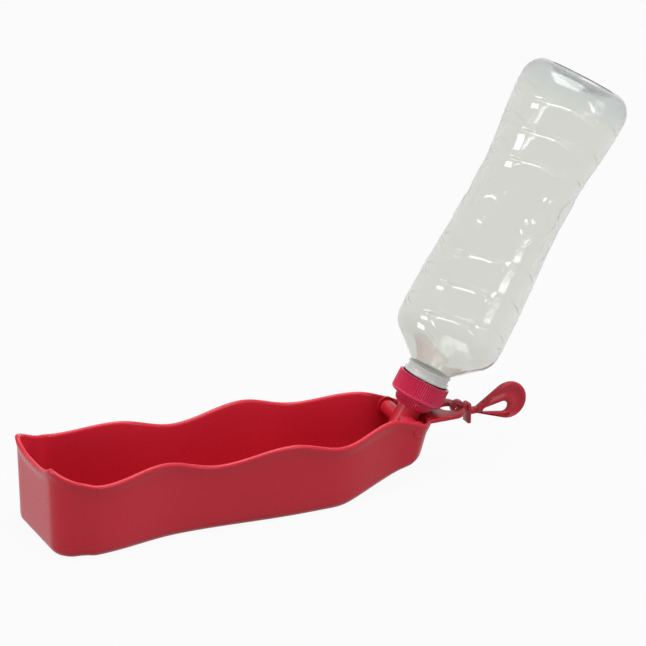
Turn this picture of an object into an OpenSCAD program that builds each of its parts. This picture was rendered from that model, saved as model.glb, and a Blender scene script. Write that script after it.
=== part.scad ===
// Dog travel water bottle: a clear bottle whose spout is hinged to a long drinking trough.
// Opened, the bottle leans up out of the trough. Folded, the trough closes round it.
// Millimetres, +Z up. The trough's flat bottom lies on z = 0 and +X runs to the hinge end.

/* [Bottle] */
// Largest radius, at the ring above the heel
heel_r = 32.5; // [29:0.5:34]
// Radius at the waist, where a hand holds it
waist_r = 28; // [24:0.5:31]
// Radius at the shoulder
shoulder_r = 31.5; // [27:0.5:33]
// Radius of the ring that the bottle stands on
foot_r = 22; // [16:1:25]
// Height of the widest ring above the base
heel_h = 13; // [10:1:20]
// Height of the waist above the base
waist_h = 72; // [55:1:90]
// Height of the shoulder above the base
shoulder_h = 158; // [130:1:160]
// Radius of the arc between the shoulder and its cone
shoulder_arc = 14; // [10:1:20]
// Angle of the shoulder's cone to the bottle's axis, in degrees
cone_angle = 49; // [46:1:56]
// Height of the neck above the shoulder's cone
neck_h = 14.87; // [14.2:0.01:17]
// Outer radius of the neck
neck_r = 12.4; // [11.5:0.1:12.8]
// Outer radius of the threaded band
thread_r = 13.6; // [13:0.1:14]
// Outer radius of the bead below the thread
bead_r = 13.3; // [12.9:0.1:13.9]
// Height of the bead
bead_h = 2.2; // [1:0.1:2.6]
// Length of the threaded band
thread_h = 5.5; // [4:0.1:6]
// Wall of the body
bottle_wall = 0.5; // [0.4:0.1:1]
// Wall of the neck
neck_wall = 1.7; // [1.2:0.1:2.2]
// Height of the push-up in the base
push_up = 6; // [2:0.5:9]

/* [Trough] */
// Wall of the trough
wall = 1.8; // [1.4:0.1:2.2]
// Thickness of its floor
floor_t = 1.6; // [1.2:0.1:1.8]
// Room beside the folded bottle's heel
heel_room = 4.1; // [3:0.1:6]
// Room beside the waist
waist_room = 1.5; // [1.2:0.1:4]
// Room beside the shoulder
shoulder_room = 2.3; // [1.5:0.1:4]
// Room between the folded bottle's base and the end wall
end_room = 3.2; // [3.2:0.1:8]
// Half width at the end wall's corners
end_half = 35.4; // [33:0.2:37]
// Radius of the end wall's upright corners
corner_r = 14; // [10:1:16]
// Half width at the hinge
hinge_half = 21.9; // [21:0.1:25]
// Reach of the rounded nose beyond the hinge axis
nose_reach = 15; // [14:0.5:18]
// Height of the corner peaks
peak_h = 52.8; // [48:0.2:56]
// Height of the scoop's bottom in the end wall
scoop_h = 47.2; // [44:0.2:50]
// Height of the rim's first dip
dip_1_h = 43.3; // [40:0.1:46]
// Height of the rim's first crest
crest_1_h = 46.6; // [42:0.1:50]
// Height of the rim's second dip
dip_2_h = 39.5; // [37:0.1:43]
// Height of the rim's second crest
crest_2_h = 44.8; // [42:0.1:48]
// Height of the rim's third dip
dip_3_h = 38; // [37:0.1:42]
// Height of the rim's third crest, beside the spout
crest_3_h = 42.7; // [41:0.1:46]
// Draft of the walls, in degrees
draft = 1.5; // [0.5:0.1:2.5]
// Radius of the outer bottom edge
bottom_r = 5; // [3:0.5:6]
// Rise of the floor towards the nose, per millimetre of length
floor_slope = 0.2; // [0.1:0.01:0.22]
// Lean of the nose, per millimetre of height
nose_lean = 0.28; // [0.1:0.01:0.3]
// How far the rim's bead stands out
rim_bead = 0.9; // [0.4:0.1:1.4]
// Height of the rim's bead
rim_bead_h = 3.2; // [2:0.1:5]

/* [Tab] */
// Reach of the tab beyond the hinge axis
tab_reach = 37.5; // [36:0.5:42]
// Width of the tab
tab_w = 27.4; // [24:0.2:32]
// Thickness of the tab
tab_t = 2.3; // [1.8:0.1:2.8]
// Height of the tab's top face
tab_top = 34.3; // [33:0.1:34.4]
// Radius of the tab's corners
tab_corner = 9; // [5:0.5:11]
// Radius of the strap's hole in the tab
tab_hole_r = 5; // [4.6:0.1:6]
// Material left beyond the hole
tab_bar = 2.3; // [2:0.1:2.6]

/* [Hinge] */
// Height of the hinge axis above the table
pivot_z = 32.5; // [32.2:0.1:34]
// How far the bottle's axis passes from the hinge axis
axis_offset = 2.1; // [1.9:0.1:3]
// Angle of the open bottle above the table, in degrees
open_angle = 60; // [60:1:62]
// Radius of the trunnions
trunnion_r = 2.15; // [1.8:0.05:2.6]
// Running clearance round a trunnion
trunnion_fit = 0.05; // [0.02:0.01:0.09]
// Radius of the barrel that the trunnions end
barrel_r = 4.2; // [4:0.1:4.6]
// Radius of the pads inside the walls
pad_r = 5.6; // [4:0.1:7]
// How far the pads stand in
pad_t = 0.7; // [0.4:0.1:1]
// Gap between the barrel's ends and the pads
barrel_gap = 0.9; // [0.8:0.05:1.2]
// How far a trunnion shows outside the wall
trunnion_show = 0.5; // [0.2:0.1:1]

/* [Spout and valve] */
// Outer radius of the spout's tube
tube_r = 7.2; // [6.8:0.1:7.3]
// How far the tube reaches below the hinge axis
tube_reach = 6; // [4:0.5:7]
// Radius of the valve chamber
chamber_r = 4.45; // [4:0.05:4.8]
// Radius of the seat and outlet
seat_r = 3.1; // [2.6:0.1:3.3]
// Height of the seat's edge above the hinge axis, along the tube
seat_s = 4; // [3.5:0.1:5]
// Radius of the flange inside the cap
flange_r = 12.9; // [12:0.1:13.2]
// Thickness of the flange
flange_t = 1.6; // [1.2:0.1:2]
// Thickness of the cap's gasket
gasket_t = 1.5; // [1:0.1:2]
// Start of the twist collar above the hinge axis, along the tube
collar_s = 8.25; // [8.25:0.05:10.4]
// Height of the twist collar
collar_h = 5.3; // [5.2:0.1:6]
// Rounding of the collar's lower edge
collar_soft = 4; // [2:0.1:4]
// Outer radius of the collar's ribs
collar_r = 11.2; // [10.6:0.1:11.6]
// Running clearance between sliding and turning fits
slide_fit = 0.05; // [0.02:0.01:0.09]
// Lift of the valve plug in a quarter turn
plug_lift = 2; // [1:0.1:2]
// Radius of the plug's two ears
ear_r = 0.7; // [0.5:0.05:0.75]
// Radius of the seal ring's section
seal_r = 0.55; // [0.4:0.05:0.6]

/* [Cap] */
// Outer radius over the ribs
cap_r = 15.5; // [15:0.1:16.4]
// Depth of the ribs on the cap and the collar
rib_depth = 0.45; // [0.3:0.05:0.6]
// Number of ribs on the cap
cap_ribs = 72; // [36:1:96]
// Number of ribs on the collar
collar_ribs = 52; // [30:1:72]
// Thickness of the cap's end plate
cap_plate = 1.5; // [1.2:0.1:2]
// Length of the cap's skirt beyond its plate
cap_skirt = 10.9; // [9.5:0.1:11]
// Rounding of the cap's lower edge
cap_soft = 2.2; // [0.8:0.1:2.4]
// Clearance between the cap and what it turns round
cap_gap = 0.3; // [0.3:0.05:0.6]

/* [Strap] */
// Radius of the space inside the strap's eye, round the tab's bar
eye_r = 2.25; // [2.2:0.05:2.4]
// Thickness of the strap
strap_t = 1.85; // [1.4:0.05:2]
// Width of the strap at the eye
eye_w = 4.8; // [3:0.1:5]
// Width of the keeper band
keeper_w = 7; // [6:0.5:9]
// Height of the keeper band
keeper_h = 12; // [9:0.5:14]
// Thickness of the hand loop
loop_t = 3.6; // [2.5:0.1:5]
// Length from the eye's centre to the far end of the loop
loop_reach = 44.2; // [42:0.1:48]
// Height of the loop's round end
loop_h = 22; // [20:0.5:24]
// Drop of the loop below the eye's centre
loop_drop = 1.2; // [0:0.1:3]

/* [Hidden] */
$fn = 96;
red = "crimson";
eps = 0.01;

// Distances along the bottle's axis, counted from the hinge towards the bottle's base
cap_s = collar_s + collar_h + cap_gap;
flange_s = cap_s + cap_plate + 0.1;
gasket_s = flange_s + flange_t;
mouth_s = gasket_s + gasket_t + 0.1;
arc_h = shoulder_h + 5;
cone_start_r = shoulder_r - shoulder_arc * (1 - cos(cone_angle));
cone_start_h = arc_h + shoulder_arc * sin(cone_angle);
cone_h = cone_start_h + (cone_start_r - neck_r) / tan(cone_angle);
bottle_h = cone_h + neck_h;
base_s = mouth_s + bottle_h;

// The trough's length from its end wall to the hinge axis, with the origin halfway
trough_len = base_s + end_room + wall;
pivot_x = trough_len / 2;

// Distances k run along the trough from the outside of its end wall
base_k = wall + end_room;
heel_k = base_k + heel_h + 4.5;
waist_k = base_k + waist_h;
shoulder_k = base_k + shoulder_h;
nose_k = trough_len + nose_reach;
nose_start = trough_len + 1;

// Half width of the trough at its rim
width_points = [
    [corner_r, end_half],
    [heel_k, heel_r + heel_room + wall],
    [waist_k, waist_r + waist_room + wall],
    [shoulder_k - 12, shoulder_r + shoulder_room + wall],
    [shoulder_k + 2, shoulder_r + shoulder_room + wall],
    [trough_len - 4, hinge_half],
    [nose_start, hinge_half]
];

// Height of the wavy rim, from one dip or crest to the next
first_dip_k = 28.3;
rim_points = [
    [first_dip_k, dip_1_h],
    [62.3, crest_1_h],
    [98.3, dip_2_h],
    [139.3, crest_2_h],
    [173.3, dip_3_h],
    [trough_len - 18, crest_3_h],
    [nose_k, tab_top]
];

function ease(t) = (1 - cos(180 * min(1, max(0, t)))) / 2;
function stretch(k, p, i = 0) = (i >= len(p) - 2 || k < p[i + 1][0]) ? i : stretch(k, p, i + 1);
function swell(k, p) =
    let(i = stretch(k, p), t = (k - p[i][0]) / (p[i + 1][0] - p[i][0]))
    p[i][1] + (p[i + 1][1] - p[i][1]) * ease(t);

function side_rim(k) =
    k < first_dip_k ? dip_1_h + (peak_h - dip_1_h) * pow(1 - k / first_dip_k, 2) : swell(k, rim_points);
peak_y = 25;
function scoop_rim(y) = scoop_h + (peak_h - scoop_h) * pow(abs(y) / peak_y, 3);
function rim_z(k, y) = k < corner_r ? min(side_rim(k), scoop_rim(y)) : side_rim(k);

// The floor is flat under the bottle's body and rises to the nose
rise_k = shoulder_k + 6;
rise_blend = 10;
function floor_z(k) =
    k < rise_k ? 0
    : k < rise_k + rise_blend ? floor_slope * pow(k - rise_k, 2) / (2 * rise_blend)
    : floor_slope * (k - rise_k - rise_blend / 2);

// Half of the plan at rim level, from the middle of the end wall round to the nose
side_step = 6;
side_count = ceil((nose_start - corner_r) / side_step);
flat_y = end_half - corner_r;
half_plan = concat(
    [for (i = [0 : 5]) [0, flat_y * i / 6]],
    [for (i = [0 : 7]) let(a = 90 * i / 8) [corner_r * (1 - cos(a)), flat_y + corner_r * sin(a)]],
    [for (i = [0 : side_count - 1])
        let(k = corner_r + (nose_start - corner_r) * i / side_count) [k, swell(k, width_points)]],
    [for (i = [0 : 10]) let(a = 9 * i)
        [nose_start + (nose_k - nose_start) * sin(a), hinge_half * cos(a)]]
);
last = len(half_plan) - 1;
side_first = 14;
function unit(v) = v / norm(v);
function plan_normal(i) =
    i == 0 ? [-1, 0]
    : i == last ? [1, 0]
    : let(d = half_plan[i + 1] - half_plan[i - 1]) unit([-d[1], d[0]]);

// Section of the wall at plan point i: rows of [inset, height] from the floor's underside,
// up the outside, over the bead and down the inside to the floor
draft_level = 44;
lean_start = trough_len - 24;
fillet_angles = [0 : 22.5 : 90];
inner_r = bottom_r - wall;
function drafted(z) = (draft_level - z) * tan(draft);
function wall_rows(i) =
    let(k = half_plan[i][0], y = half_plan[i][1], top = rim_z(k, y), low = floor_z(k), b = rim_bead_h)
    concat(
        [for (a = fillet_angles)
            let(z = low + bottom_r * (1 - cos(a))) [drafted(z) + bottom_r * (1 - sin(a)), z]],
        [[drafted(top - b), top - b],
         [drafted(top) - 0.6 * rim_bead, top - 0.78 * b],
         [drafted(top) - rim_bead, top - 0.5 * b],
         [drafted(top) - 0.75 * rim_bead, top - 0.16 * b],
         [drafted(top) + 0.1 * wall, top],
         [drafted(top) + wall, top - 0.2 * b]],
        [for (j = [4 : -1 : 0])
            let(a = 22.5 * j, z = low + floor_t + inner_r * (1 - cos(a)))
            [drafted(z) + wall + inner_r * (1 - sin(a)), z]]
    );
function lean(k, z) = nose_lean * max(0, tab_top - z) * ease((k - lean_start) / (nose_k - lean_start));
function place(i, side, row) =
    let(n = plan_normal(i), p = half_plan[i] - n * row[0])
    [p[0] - lean(half_plan[i][0], row[1]) - pivot_x, side * p[1], row[1]];

// The full ring of columns: the half plan out along +Y, then back along -Y
columns = concat(
    [for (i = [0 : last]) [i, 1]],
    [for (i = [last - 1 : -1 : 1]) [i, -1]]
);
ring = len(columns);
rows = len(wall_rows(0));
function mirror_of(c) = (ring - c) % ring;

module trough_shell() {
    points = [for (c = columns) let(w = wall_rows(c[0])) for (row = w) place(c[0], c[1], row)];
    skin = [for (c = [0 : ring - 1]) for (r = [0 : rows - 2])
        let(d = (c + 1) % ring, a = c * rows + r, b = d * rows + r)
        each [[a, b, b + 1], [a, b + 1, a + 1]]];
    // Each of the two floors is a fan at the end wall and then strips from side to side
    floor_faces = concat(
        [for (c = [-side_first : side_first - 2]) [(c + ring) % ring, (c + 1 + ring) % ring, side_first]],
        [for (c = [side_first : last - 1]) [c, c + 1, mirror_of(c)]],
        [for (c = [side_first : last - 2]) [c + 1, mirror_of(c + 1), mirror_of(c)]]
    );
    over = [for (f = floor_faces) [for (c = f) c * rows + rows - 1]];
    under = [for (f = floor_faces) [f[2] * rows, f[1] * rows, f[0] * rows]];
    polyhedron(points, concat(skin, under, over), convexity = 10);
}

// Outline inside the walls at the tab, which keeps the tab out of the mouth
mouth_outline = concat(
    [for (i = [0 : last])
        let(p = half_plan[i] - plan_normal(i) * (wall + drafted(tab_top))) [p[0] - pivot_x, p[1]]],
    [for (i = [last - 1 : -1 : 1])
        let(p = half_plan[i] - plan_normal(i) * (wall + drafted(tab_top))) [p[0] - pivot_x, -p[1]]]
);
tab_hole_x = pivot_x + tab_reach - tab_bar - tab_hole_r;

module tab() {
    end = pivot_x + tab_reach - tab_corner;
    side = tab_w / 2 - tab_corner;
    translate([0, 0, tab_top - tab_t])
        linear_extrude(tab_t)
            difference() {
                union() {
                    translate([pivot_x + 8, -tab_w / 2]) square([end - pivot_x - 8, tab_w]);
                    translate([end - eps, -side]) square([tab_corner + eps, 2 * side]);
                    for (y = [-side, side]) translate([end, y]) circle(tab_corner);
                }
                polygon(mouth_outline);
                translate([tab_hole_x, 0]) circle(tab_hole_r);
            }
}

// Places a child on the hinge axis, along Y
module across() {
    translate([pivot_x, 0, pivot_z]) rotate([90, 0, 0]) children();
}

wall_outer_y = hinge_half - drafted(pivot_z);
wall_inner_y = wall_outer_y - wall;
pad_face_y = wall_inner_y - pad_t;

module trough() {
    color(red)
    difference() {
        union() {
            trough_shell();
            tab();
            for (side = [-1, 1])
                translate([0, side * (pad_face_y + (pad_t + wall / 2) / 2), 0])
                    across() cylinder(h = pad_t + wall / 2, r = pad_r, center = true);
        }
        across() cylinder(h = 3 * hinge_half, r = trunnion_r + trunnion_fit, center = true);
    }
}

// Places a child on the bottle's axis: local +Z runs from the hinge to the bottle's base
module on_axis() {
    translate([pivot_x, 0, pivot_z])
        rotate([0, 90 - open_angle, 0])
            translate([axis_offset, 0, 0])
                children();
}

// The plug's ears pass through slots in the tube into the collar's groove
groove_s = collar_s + 1.2;
groove_h = plug_lift + 2 * ear_r + 0.2;
groove_r = tube_r + 1.5;
ear_s = groove_s + ear_r + 0.1;
seal_s = seat_s - 0.7;

module spout_body() {
    color(red)
    difference() {
        union() {
            on_axis() {
                // A rounded lower lip, the tube and the flange that the cap holds
                rotate_extrude() {
                    translate([0, -tube_reach + 1.5]) square([tube_r, flange_s + tube_reach - 1.5]);
                    translate([0, -tube_reach]) square([tube_r - 1.5, 1.5 + eps]);
                    translate([tube_r - 1.5, -tube_reach + 1.5]) circle(1.5);
                    translate([0, flange_s]) square([flange_r, flange_t]);
                }
            }
            across() cylinder(h = 2 * (pad_face_y - barrel_gap), r = barrel_r, center = true);
            across() cylinder(h = 2 * (wall_outer_y + trunnion_show), r = trunnion_r, center = true);
        }
        on_axis() {
            translate([0, 0, seat_s]) cylinder(h = flange_s + flange_t, r = chamber_r);
            translate([0, 0, -2 * tube_reach]) cylinder(h = 2 * tube_reach + seat_s + eps, r = seat_r);
            // Slots for the plug's ears
            translate([-ear_r - 0.1, -tube_r - 1, groove_s])
                cube([2 * ear_r + 0.2, 2 * tube_r + 2, groove_h]);
        }
    }
}

module cap_gasket() {
    color("gainsboro")
    on_axis()
        translate([0, 0, gasket_s])
            difference() {
                cylinder(h = gasket_t, r = neck_r);
                translate([0, 0, -eps]) cylinder(h = gasket_t + 2 * eps, r = chamber_r + 3);
            }
}

// A ribbed ring: count ribs of the given height round radius r
module ribs(count, r, depth, height) {
    for (i = [0 : count - 1])
        rotate(360 * i / count)
            translate([r - depth - 0.3, -0.22 * 2 * PI * r / count, 0])
                cube([depth + 0.3, 0.44 * 2 * PI * r / count, height]);
}

module twist_collar() {
    core = collar_r - rib_depth;
    color(red)
    on_axis()
        translate([0, 0, collar_s])
            difference() {
                union() {
                    // The lower edge is a quarter circle, so the collar clears the tab's root
                    rotate_extrude()
                        polygon(concat([[0, 0]],
                            [for (a = [0 : 7.5 : 90])
                                [core - collar_soft * (1 - sin(a)), collar_soft * (1 - cos(a))]],
                            [[core, collar_h], [0, collar_h]]));
                    translate([0, 0, 2.4]) ribs(collar_ribs, collar_r, rib_depth, collar_h - 2.8);
                }
                translate([0, 0, -1]) cylinder(h = collar_h + 2, r = tube_r + slide_fit);
                translate([0, 0, groove_s - collar_s]) cylinder(h = groove_h, r = groove_r);
            }
}

module valve_plug() {
    tip_s = seat_s - 1.4;
    tip_h = 2.2;
    land_s = ear_s - ear_r - 0.6;
    land_h = 2 * ear_r + 3.6;
    stem_r = seat_r - 0.8;
    color("white")
    on_axis()
        difference() {
            union() {
                translate([0, 0, tip_s]) cylinder(h = tip_h, r = seat_r - 0.15);
                translate([0, 0, tip_s]) cylinder(h = land_s - tip_s + eps, r = stem_r);
                translate([0, 0, land_s]) cylinder(h = land_h, r = chamber_r - slide_fit);
                translate([0, 0, ear_s]) rotate([90, 0, 0])
                    cylinder(h = 2 * (groove_r - 0.4), r = ear_r, center = true);
            }
            // Groove of the seal ring, and flutes that let the water past the guide land
            translate([0, 0, seal_s]) rotate_extrude()
                translate([seat_r - slide_fit - seal_r, 0]) square(2 * seal_r + 0.1, center = true);
            for (a = [0, 90, 180, 270]) rotate(a + 45)
                translate([chamber_r - 1.3, -0.9, land_s - 1]) cube([3, 1.8, land_h + 2]);
        }
}

module plug_seal() {
    color("dimgray")
    on_axis()
        translate([0, 0, seal_s])
            rotate_extrude() translate([seat_r - slide_fit - seal_r, 0]) circle(seal_r, $fn = 32);
}

module screw_cap() {
    core = cap_r - rib_depth;
    height = cap_plate + cap_skirt;
    color(red)
    on_axis()
        translate([0, 0, cap_s])
            difference() {
                union() {
                    rotate_extrude()
                        polygon(concat([[0, 0]],
                            [for (a = [0 : 10 : 90])
                                [core - cap_soft * (1 - sin(a)), cap_soft * (1 - cos(a))]],
                            [[core, height], [0, height]]));
                    translate([0, 0, cap_soft]) ribs(cap_ribs, cap_r, rib_depth, height - cap_soft - 0.5);
                }
                translate([0, 0, -1]) cylinder(h = height, r = tube_r + cap_gap);
                translate([0, 0, cap_plate]) cylinder(h = height, r = thread_r + cap_gap);
            }
}

// Outside of the bottle as [radius, height]: round heel, swelling body, round shoulder, cone
body_points = [[heel_h, heel_r], [waist_h, waist_r], [shoulder_h, shoulder_r]];
bottle_outline = concat(
    [for (a = [0 : 10 : 90]) [foot_r + (heel_r - foot_r) * sin(a), heel_h * (1 - cos(a))]],
    [for (h = [heel_h + 5 : 5 : shoulder_h]) [swell(h, body_points), h]],
    [for (i = [0 : 6]) let(a = cone_angle * i / 6)
        [shoulder_r - shoulder_arc * (1 - cos(a)), arc_h + shoulder_arc * sin(a)]],
    [[neck_r, cone_h]]
);

// The same outline moved in by the wall, for the hollow
function inward(p, i, t) =
    let(a = p[max(0, i - 1)], b = p[min(len(p) - 1, i + 1)], d = unit(b - a)) p[i] - t * [d[1], -d[0]];
hollow_outline = [for (i = [1 : len(bottle_outline) - 2]) inward(bottle_outline, i, bottle_wall)];
bore_r = neck_r - neck_wall;
bore_h = cone_h + neck_wall / tan(cone_angle) - bottle_wall / sin(cone_angle);

module bottle() {
    bead_end = base_s - cap_s - cap_plate - cap_skirt - cap_gap - 0.1;
    thread_end = bottle_h - 0.6;
    color("lightgray", 0.5)
    on_axis()
        translate([0, 0, base_s])
            mirror([0, 0, 1])
                rotate_extrude()
                    difference() {
                        union() {
                            polygon(concat([[0, 0]], bottle_outline, [[neck_r, bottle_h], [0, bottle_h]]));
                            translate([0, bead_end - bead_h]) square([bead_r, bead_h]);
                            translate([0, thread_end - thread_h]) square([thread_r, thread_h]);
                        }
                        // The push-up is a shallow dome under the base
                        polygon(concat([for (a = [0 : 10 : 90])
                            [(foot_r - 3) * cos(a), push_up * sin(a) - eps]], [[0, -eps]]));
                        difference() {
                            polygon(concat([[0, bottle_wall]], [[foot_r - 1, bottle_wall]], hollow_outline,
                                [[bore_r, bore_h], [bore_r, bottle_h + 1], [0, bottle_h + 1]]));
                            polygon(concat([for (a = [0 : 10 : 90])
                                [(foot_r - 3 + bottle_wall) * cos(a), (push_up + bottle_wall) * sin(a)]],
                                [[0, 0]]));
                        }
                    }
}

// The strap's eye turns on the bar beyond the tab's hole
eye_x = pivot_x + tab_reach - (tab_bar + 0.6) / 2;
eye_z = tab_top - tab_t / 2;
eye_outer = eye_r + strap_t;

module carry_strap() {
    loop_x = loop_reach - loop_h / 2;
    neck_x = eye_outer + 3.9;
    neck_y = -loop_drop - 2.7;
    color(red)
    translate([eye_x, 0, eye_z])
        rotate([90, 0, 0])
            difference() {
                union() {
                    linear_extrude(eye_w, center = true) {
                        circle(eye_outer);
                        translate([eye_r + 0.4, -2.4]) square([6, 4.2]);
                    }
                    // The keeper band stands across the strap
                    translate([eye_outer + 1.2, 1.6 - keeper_h, -keeper_w / 2])
                        cube([2.2, keeper_h, keeper_w]);
                    // A narrow neck, then a loop like a drop
                    linear_extrude(loop_t, center = true) {
                        hull()
                            for (x = [neck_x, neck_x + 8]) translate([x, neck_y]) circle(1.9, $fn = 32);
                        hull() {
                            translate([neck_x + 7.5, neck_y]) circle(1.2, $fn = 32);
                            translate([loop_x, -loop_drop]) circle(loop_h / 2, $fn = 96);
                        }
                    }
                }
                cylinder(h = 2 * eye_w, r = eye_r, center = true);
                linear_extrude(2 * keeper_w, center = true)
                    hull() {
                        translate([neck_x + 9.3, neck_y - 1]) circle(1.1, $fn = 32);
                        translate([loop_x - 4, neck_y - 0.8]) circle(3.2, $fn = 32);
                    }
            }
}

trough();
spout_body();
cap_gasket();
twist_collar();
valve_plug();
plug_seal();
screw_cap();
bottle();
carry_strap();
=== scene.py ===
# %% [markdown]
# A dog's travel water bottle
#
# A clear bottle is hinged by its red spout to a long red drinking trough. The solids come from
# the CAD model. This script gives them their looks: each cell makes one piece or one finish of
# the real object, at real size, and says how and why.

# %% Load the frame
import math

import bmesh
import bpy
from mathutils import Matrix, Vector


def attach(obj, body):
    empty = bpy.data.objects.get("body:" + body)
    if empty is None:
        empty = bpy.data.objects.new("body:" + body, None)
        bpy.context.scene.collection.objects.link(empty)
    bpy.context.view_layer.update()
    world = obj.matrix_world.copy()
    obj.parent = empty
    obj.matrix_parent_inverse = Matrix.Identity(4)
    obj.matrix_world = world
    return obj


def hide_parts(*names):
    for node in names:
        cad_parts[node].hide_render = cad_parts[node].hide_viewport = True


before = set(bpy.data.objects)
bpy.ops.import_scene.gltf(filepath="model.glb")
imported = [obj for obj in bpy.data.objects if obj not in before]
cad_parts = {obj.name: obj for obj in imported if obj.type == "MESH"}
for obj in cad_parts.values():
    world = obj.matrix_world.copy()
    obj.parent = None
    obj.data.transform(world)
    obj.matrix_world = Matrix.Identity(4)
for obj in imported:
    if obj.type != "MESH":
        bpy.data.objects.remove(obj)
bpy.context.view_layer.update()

# %% [markdown]
# Sizes
#
# Blender works in metres and the drawing of this object in millimetres, so every piece is
# shaped in millimetres and scaled once at its end. The values are those of the CAD source,
# which keeps the two models the same size. They could be measured on the imported solids too,
# but written numbers are easier to read.

# %% Sizes of the real object, in millimetres
MM = 0.001
pivot = Vector((112.25, 0.0, 32.5))
trough_length = 224.5
open_lean = math.radians(30)
axis_offset = 2.1
wall = 1.8
floor_thickness = 1.6
bottle_base = 219.5
bottle_height = 200.85

axis_frame = (
    Matrix.Translation(pivot)
    @ Matrix.Rotation(open_lean, 4, "Y")
    @ Matrix.Translation((axis_offset, 0, 0))
)
bottle_frame = (
    axis_frame
    @ Matrix.Translation((0, 0, bottle_base))
    @ Matrix.Rotation(math.pi, 4, "X")
)
print("bottle leans", round(90 - math.degrees(open_lean)), "degrees above the table")

# %% [markdown]
# Camera
#
# A long lens far away keeps the trough's sides nearly parallel, as in the photograph. The
# camera stands to the left of the hinge, looks down by about 22 degrees, and is rolled by
# less than half a degree. Its place is given from the middle of the hinge's axis. A Track To
# constraint could aim it, but couldn't hold that roll, so its three directions are worked out.

# %% Camera
photo_width = 646
sensor_width = 36
focal_pixels = 3995.9
azimuth = math.radians(25.32)
elevation = math.radians(22.195)
roll = math.radians(0.433)
camera_place = (pivot + Vector((-934.1, -1869.5, 910.6))) * MM

forward = Vector((
    math.sin(azimuth) * math.cos(elevation),
    math.cos(azimuth) * math.cos(elevation),
    -math.sin(elevation),
))
level = Vector((math.cos(azimuth), -math.sin(azimuth), 0))
upward = level.cross(forward)
right = level * math.cos(roll) + upward * math.sin(roll)
up = upward * math.cos(roll) - level * math.sin(roll)

camera = bpy.data.cameras.new("camera")
camera.sensor_width = sensor_width
camera.lens = focal_pixels / photo_width * sensor_width
camera.clip_end = 20
camera_object = bpy.data.objects.new("camera", camera)
bpy.context.scene.collection.objects.link(camera_object)
turn = Matrix((right, up, -forward)).transposed().to_4x4()
camera_object.matrix_world = Matrix.Translation(camera_place) @ turn
bpy.context.scene.camera = camera_object
print("lens", round(camera.lens, 1), "mm")

# %% [markdown]
# Helpers
#
# A colour is written as a sRGB hex value, the way a paint chart gives it, and turned to the
# linear values that a shader takes. One function adds a node with its settings and links, and
# one starts a material. Nodes could be placed by hand in the shader editor, but a script can be
# run again after each change.

# %% Colour, node and material helpers
def linear(hex_colour):
    values = [int(hex_colour[i : i + 2], 16) / 255 for i in (1, 3, 5)]
    return [v / 12.92 if v <= 0.04045 else ((v + 0.055) / 1.055) ** 2.4 for v in values] + [1.0]


def add_node(tree, kind, settings=None, **inputs):
    """Add a node. An input is given by its name, or as _0, _1, ... by its place."""
    node = tree.nodes.new(kind)
    for name, value in (settings or {}).items():
        setattr(node, name, value)
    for name, value in inputs.items():
        key = int(name[1:]) if name[0] == "_" and name[1:].isdigit() else name.replace("_", " ")
        if isinstance(value, bpy.types.NodeSocket):
            tree.links.new(value, node.inputs[key])
        else:
            node.inputs[key].default_value = value
    return node


def start_material(name):
    material = bpy.data.materials.new(name)
    material.use_nodes = True
    return material, material.node_tree, material.node_tree.nodes["Principled BSDF"]


print("white paper in linear values:", [round(v, 3) for v in linear("#8F8F8E")])

# %% [markdown]
# Moulded red polypropylene
#
# The trough and spout are injection-moulded polypropylene in a deep red, and the cap and collar
# are of a slightly pinker batch. The mould is polished, so the skin is glossy, with a faint
# waviness where the plastic shrank as it cooled, and the finest grain, which softens the
# reflections. Image textures could do this, but noise on the object's own coordinates keeps its
# real size on every piece. Polypropylene's own IOR is about 1.49; it is lowered here, with the
# specular level, because the photograph's sheen is weaker.

# %% Red polypropylene
moulded_ior = 1.38
moulded_specular = 0.38
grit_mm = 0.6


def moulded_plastic(name, colour, deeper, roughness, wave_mm, wave_height, grain):
    material, tree, shader = start_material(name)
    place = add_node(tree, "ShaderNodeTexCoord").outputs["Object"]
    # Flow marks of the melt: a slow change of tone, tens of millimetres long
    flow = add_node(
        tree, "ShaderNodeTexNoise", Vector=place, Scale=1000 / (wave_mm * 4), Detail=2.0,
        Roughness=0.4,
    )
    tone = add_node(
        tree, "ShaderNodeMix", {"data_type": "RGBA"}, Factor=flow.outputs[0],
        _6=linear(colour), _7=linear(deeper),
    )
    tree.links.new(tone.outputs[2], shader.inputs["Base Color"])
    # Shrink waves, wave_mm apart, and mould grain, drawn coarser than the real 0.1 mm
    shrink = add_node(tree, "ShaderNodeTexNoise", Vector=place, Scale=1000 / wave_mm, Detail=1.0)
    grit = add_node(tree, "ShaderNodeTexNoise", Vector=place, Scale=1000 / grit_mm, Detail=2.0)
    rough = add_node(
        tree, "ShaderNodeMapRange", Value=grit.outputs[0],
        To_Min=roughness - grain, To_Max=roughness + grain,
    )
    tree.links.new(rough.outputs[0], shader.inputs["Roughness"])
    coarse = add_node(
        tree, "ShaderNodeBump", Height=shrink.outputs[0], Strength=1.0, Distance=wave_height * MM
    )
    fine = add_node(
        tree, "ShaderNodeBump", Height=grit.outputs[0], Strength=0.6, Distance=grain * 0.02 * MM,
        Normal=coarse.outputs[0],
    )
    tree.links.new(fine.outputs[0], shader.inputs["Normal"])
    shader.inputs["IOR"].default_value = moulded_ior
    shader.inputs["Specular IOR Level"].default_value = moulded_specular
    return material


red_polypropylene = moulded_plastic(
    "moulded_red_polypropylene", "#C42638", "#BB2132", 0.26, 14, 0.012, 0.05
)
cap_polypropylene = moulded_plastic(
    "moulded_cap_polypropylene", "#D4385E", "#CC3056", 0.22, 9, 0.01, 0.05
)
print(red_polypropylene.name, cap_polypropylene.name)

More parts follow.
